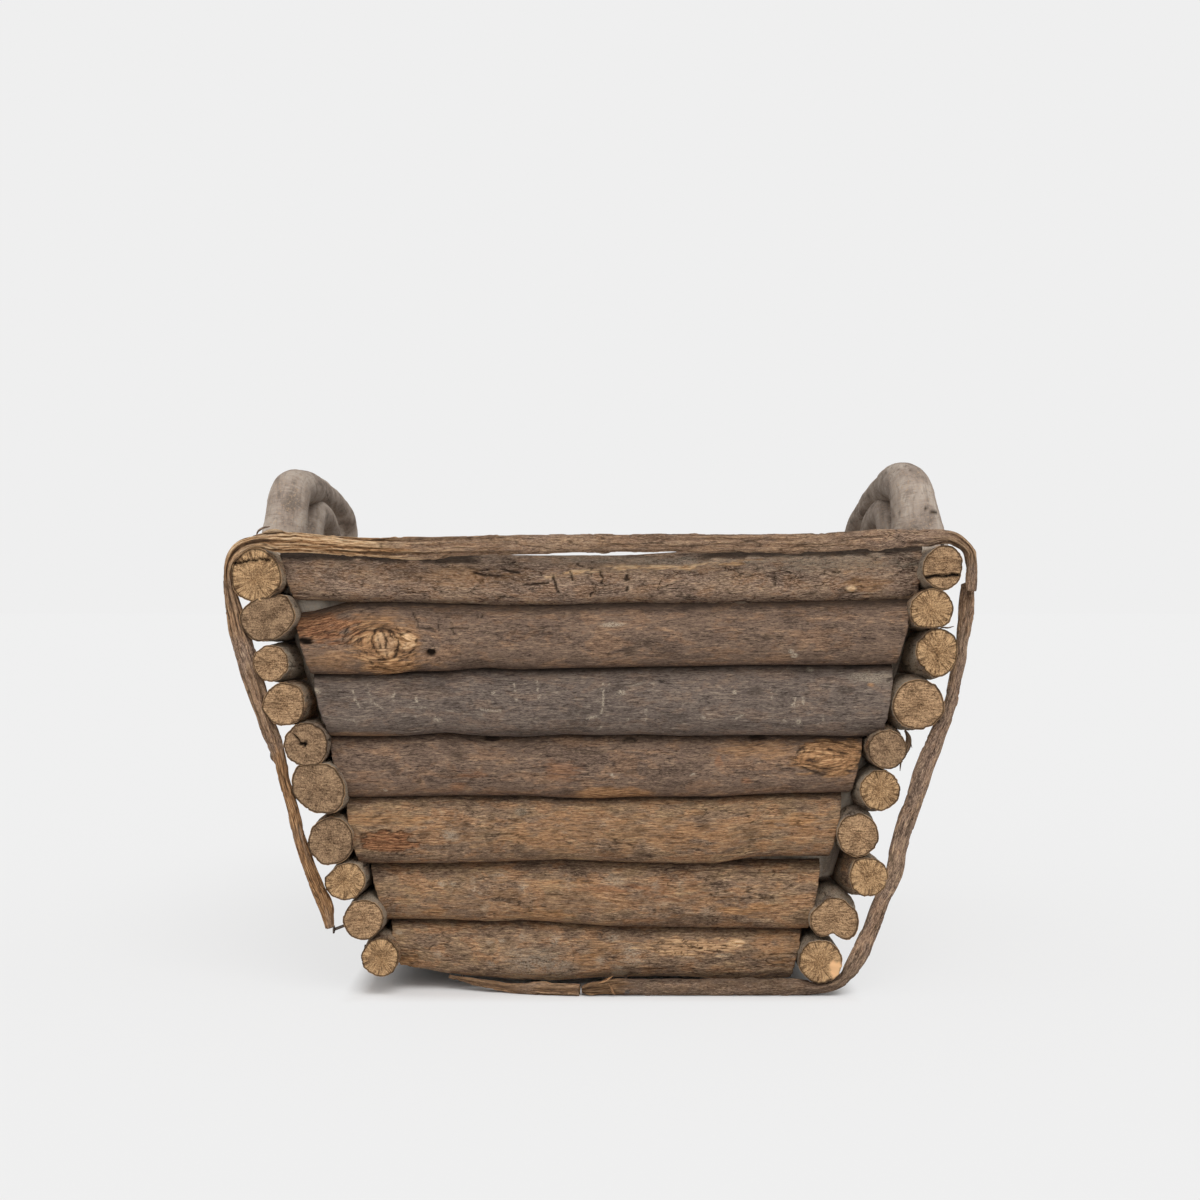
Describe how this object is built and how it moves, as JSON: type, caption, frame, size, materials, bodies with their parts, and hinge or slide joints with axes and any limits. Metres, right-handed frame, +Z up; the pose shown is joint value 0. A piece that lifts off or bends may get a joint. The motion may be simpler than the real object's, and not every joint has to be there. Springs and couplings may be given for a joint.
{
  "type": "twig box",
  "caption": "Open farmhouse box of round twigs with leaning sides, a floor of twigs, bent bow handles on both sides and a thin rod bound round each end.",
  "frame": {"origin": "on the ground, under the middle of the box's bounding box", "axes": "+Z up; the end seen in the picture faces -Y; the handles stand on the -X and +X sides; the twigs of the sides run along Y and those of the ends and the floor along X"},
  "size_m": [0.4591, 0.4248, 0.3337],
  "materials": {
    "bark_twig": "dull brown bark, weathered, with sawn ends",
    "grey_branch": "smooth grey-brown bark, dull",
    "withy": "thin bark, peeled and fibrous in places",
    "nail_iron": "dull, slightly rusted"
  },
  "bodies": {
    "root": {"front_twig_1": "bark_twig", "front_twig_2": "bark_twig", "front_twig_3": "bark_twig", "front_twig_4": "bark_twig", "front_twig_5": "bark_twig", "front_twig_6": "bark_twig", "front_twig_7": "bark_twig", "back_twig_1": "bark_twig", "back_twig_2": "bark_twig", "back_twig_3": "bark_twig", "back_twig_4": "bark_twig", "back_twig_5": "bark_twig", "back_twig_6": "bark_twig", "back_twig_7": "bark_twig", "left_twig_1": "bark_twig", "left_twig_2": "bark_twig", "left_twig_3": "bark_twig", "left_twig_4": "bark_twig", "left_twig_5": "bark_twig", "left_twig_6": "bark_twig", "left_twig_7": "bark_twig", "left_twig_8": "bark_twig", "left_twig_9": "bark_twig", "left_twig_10": "bark_twig", "right_twig_1": "bark_twig", "right_twig_2": "bark_twig", "right_twig_3": "bark_twig", "right_twig_4": "bark_twig", "right_twig_5": "bark_twig", "right_twig_6": "bark_twig", "right_twig_7": "bark_twig", "right_twig_8": "bark_twig", "right_twig_9": "bark_twig", "right_twig_10": "bark_twig", "floor_twig_1": "bark_twig", "floor_twig_2": "bark_twig", "floor_twig_3": "bark_twig", "floor_twig_4": "bark_twig", "floor_twig_5": "bark_twig", "floor_twig_6": "bark_twig", "floor_twig_7": "bark_twig", "floor_twig_8": "bark_twig", "floor_twig_9": "bark_twig", "floor_twig_10": "bark_twig", "floor_twig_11": "bark_twig", "front_left_post": "grey_branch", "front_right_post": "grey_branch", "back_left_post": "grey_branch", "back_right_post": "grey_branch", "left_handle_outer_bow": "grey_branch", "left_handle_inner_bow": "grey_branch", "right_handle_outer_bow": "grey_branch", "right_handle_inner_bow": "grey_branch", "front_rim_rod": "withy", "front_side_rod": "withy", "front_scrap_rod": "withy", "back_hoop_rod": "withy", "wall_nails": "nail_iron", "handle_nails": "nail_iron", "binding_nails": "nail_iron"}
  },
  "joints": []
}
